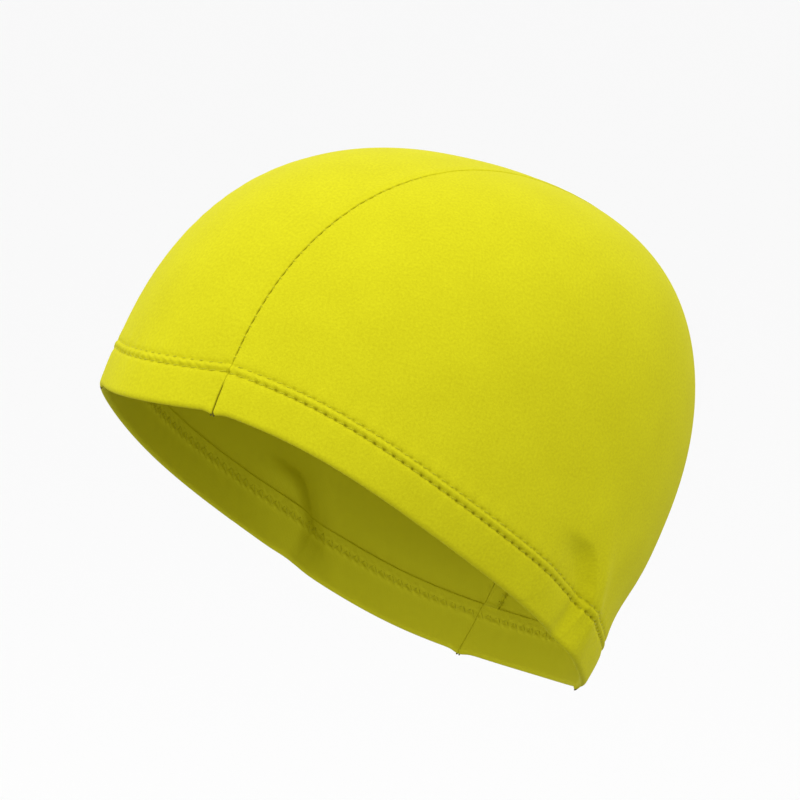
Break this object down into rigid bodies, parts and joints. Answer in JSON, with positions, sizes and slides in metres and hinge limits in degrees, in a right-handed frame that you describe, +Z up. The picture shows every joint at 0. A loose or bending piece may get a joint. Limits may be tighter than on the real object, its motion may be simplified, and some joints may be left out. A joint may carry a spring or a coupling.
{
  "type": "stretch cloth swim cap",
  "caption": "Close-fitting stretch cloth swim cap: a centre panel seamed between side panels, with a turned hem stitched in rows round the opening.",
  "frame": {"origin": "where the top of the head touches the inside of the crown, on the middle plane", "axes": "+X towards the wearer's left, +Y towards the back of the head, +Z up"},
  "size_m": [0.166, 0.195, 0.1724],
  "materials": {
    "knit": "bright lemon yellow fine matte stretch knit"
  },
  "bodies": {
    "root": {"centre_panel": "knit", "side_panel_left": "knit", "side_panel_right": "knit"}
  },
  "joints": []
}
